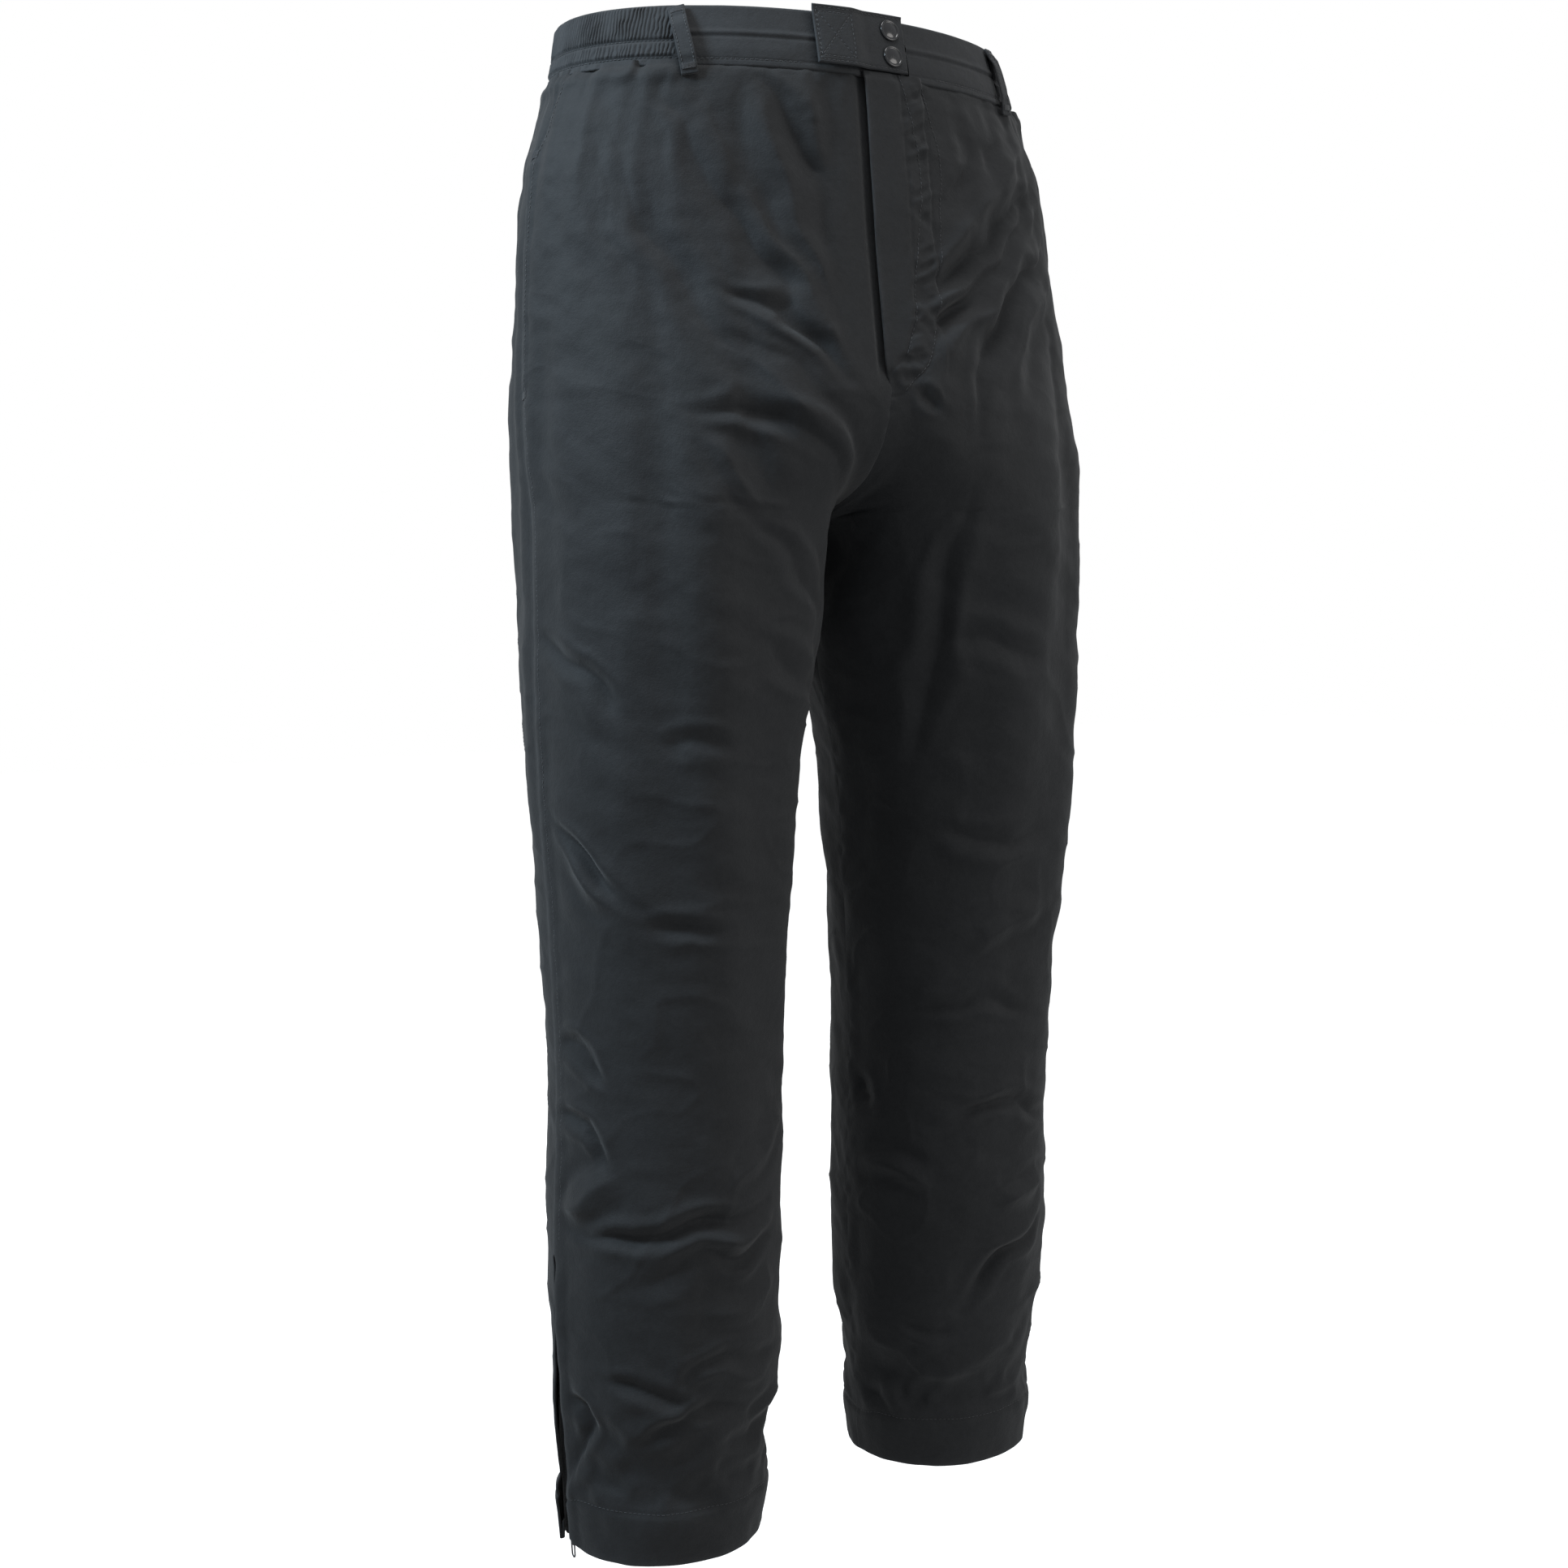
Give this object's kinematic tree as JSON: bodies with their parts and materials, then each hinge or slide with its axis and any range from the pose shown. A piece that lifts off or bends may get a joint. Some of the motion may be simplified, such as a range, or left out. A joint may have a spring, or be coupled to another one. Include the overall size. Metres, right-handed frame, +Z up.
{
  "type": "ski pants",
  "caption": "Insulated ski trousers with partly elasticated waist, belt loops, snap and hook-patch tab, zip fly, side pockets and zipped hems.",
  "frame": {"origin": "centre of the waist opening, in the plane of the waistband's top edge", "axes": "+Z up towards the waist, the front faces -Y, +X to the wearer's left"},
  "size_m": [0.4248, 0.268, 1.064],
  "materials": {
    "shell_nylon": "matt waterproof nylon shell, fine plain weave with a slight sheen",
    "lining_taffeta": "smooth thin taffeta",
    "band_nylon": "the shell nylon, folded and topstitched",
    "elastic_web": "ribbed woven elastic",
    "zip_tape": "woven polyester tape",
    "zip_teeth": "nylon coil",
    "zip_metal": "black painted zinc, worn bright at the edges",
    "snap_metal": "glossy black enamelled brass",
    "hook_nylon": "hook and loop pile"
  },
  "bodies": {
    "trousers": {"back_panel_left": "shell_nylon", "back_panel_right": "shell_nylon", "belt_loop_back_left": "band_nylon", "belt_loop_back_right": "band_nylon", "belt_loop_centre_back": "band_nylon", "belt_loop_front_left": "band_nylon", "belt_loop_front_right": "band_nylon", "fly_facing": "shell_nylon", "fly_shield": "lining_taffeta", "fly_underlap": "shell_nylon", "fly_zip_tape_left": "zip_tape", "fly_zip_tape_right": "zip_tape", "fly_zip_teeth_left": "zip_teeth", "fly_zip_teeth_right": "zip_teeth", "front_panel_left": "shell_nylon", "front_panel_right": "shell_nylon", "hem_facing_back_left": "shell_nylon", "hem_facing_back_right": "shell_nylon", "hem_facing_front_left": "shell_nylon", "hem_facing_front_right": "shell_nylon", "hem_zip_guard_left": "shell_nylon", "hem_zip_guard_right": "shell_nylon", "hem_zip_tape_back_left": "zip_tape", "hem_zip_tape_back_right": "zip_tape", "hem_zip_tape_front_left": "zip_tape", "hem_zip_tape_front_right": "zip_tape", "hem_zip_teeth_back_left": "zip_teeth", "hem_zip_teeth_back_right": "zip_teeth", "hem_zip_teeth_front_left": "zip_teeth", "hem_zip_teeth_front_right": "zip_teeth", "lining_left": "lining_taffeta", "lining_right": "lining_taffeta", "loop_patch": "hook_nylon", "pocket_bag_inner_left": "lining_taffeta", "pocket_bag_inner_right": "lining_taffeta", "pocket_bag_outer_left": "lining_taffeta", "pocket_bag_outer_right": "lining_taffeta", "snap_stud_lower": "snap_metal", "snap_stud_upper": "snap_metal", "waist_elastic_left": "elastic_web", "waist_elastic_right": "elastic_web", "waistband_back": "band_nylon", "waistband_facing_left": "lining_taffeta", "waistband_facing_right": "lining_taffeta", "waistband_front_left": "band_nylon", "waistband_front_right": "band_nylon", "waistband_side_left": "band_nylon", "waistband_side_right": "band_nylon"},
    "tab": {"waist_tab": "band_nylon", "hook_patch": "hook_nylon", "snap_cap_upper": "snap_metal", "snap_cap_lower": "snap_metal", "snap_socket_upper": "snap_metal", "snap_socket_lower": "snap_metal"},
    "fly_slider": {"fly_zip_slider": "zip_metal", "fly_zip_pull": "zip_metal"},
    "hem_slider_right": {"hem_zip_slider_right": "zip_metal"},
    "hem_pull_right": {"hem_zip_pull_right": "zip_metal"},
    "hem_slider_left": {"hem_zip_slider_left": "zip_metal"},
    "hem_pull_left": {"hem_zip_pull_left": "zip_metal"}
  },
  "joints": [
    {"name": "waist_tab_hinge", "type": "hinge", "parent": "trousers", "child": "tab", "pos_m": [0.0322, -0.11291, -0.016], "axis": [0, 0.2508, 0.968], "range_deg": [0, 110]},
    {"name": "fly_zip_slide", "type": "slide", "parent": "trousers", "child": "fly_slider", "axis": [0, -0.1466, -0.9892], "range_m": [0, 0.175]},
    {"name": "hem_zip_slide_right", "type": "slide", "parent": "trousers", "child": "hem_slider_right", "axis": [-0.0443, 0.0293, 0.9986], "range_m": [0, 0.185]},
    {"name": "hem_pull_hinge_right", "type": "hinge", "parent": "hem_slider_right", "child": "hem_pull_right", "pos_m": [-0.20056, -0.05669, -1.03951], "axis": [0, 0.9996, -0.0294], "range_deg": [0, 165]},
    {"name": "hem_zip_slide_left", "type": "slide", "parent": "trousers", "child": "hem_slider_left", "axis": [0.0443, -0.0293, 0.9986], "range_m": [0, 0.185]},
    {"name": "hem_pull_hinge_left", "type": "hinge", "parent": "hem_slider_left", "child": "hem_pull_left", "pos_m": [0.20056, -0.01531, -1.03951], "axis": [0, -0.9996, -0.0294], "range_deg": [0, 165]}
  ]
}
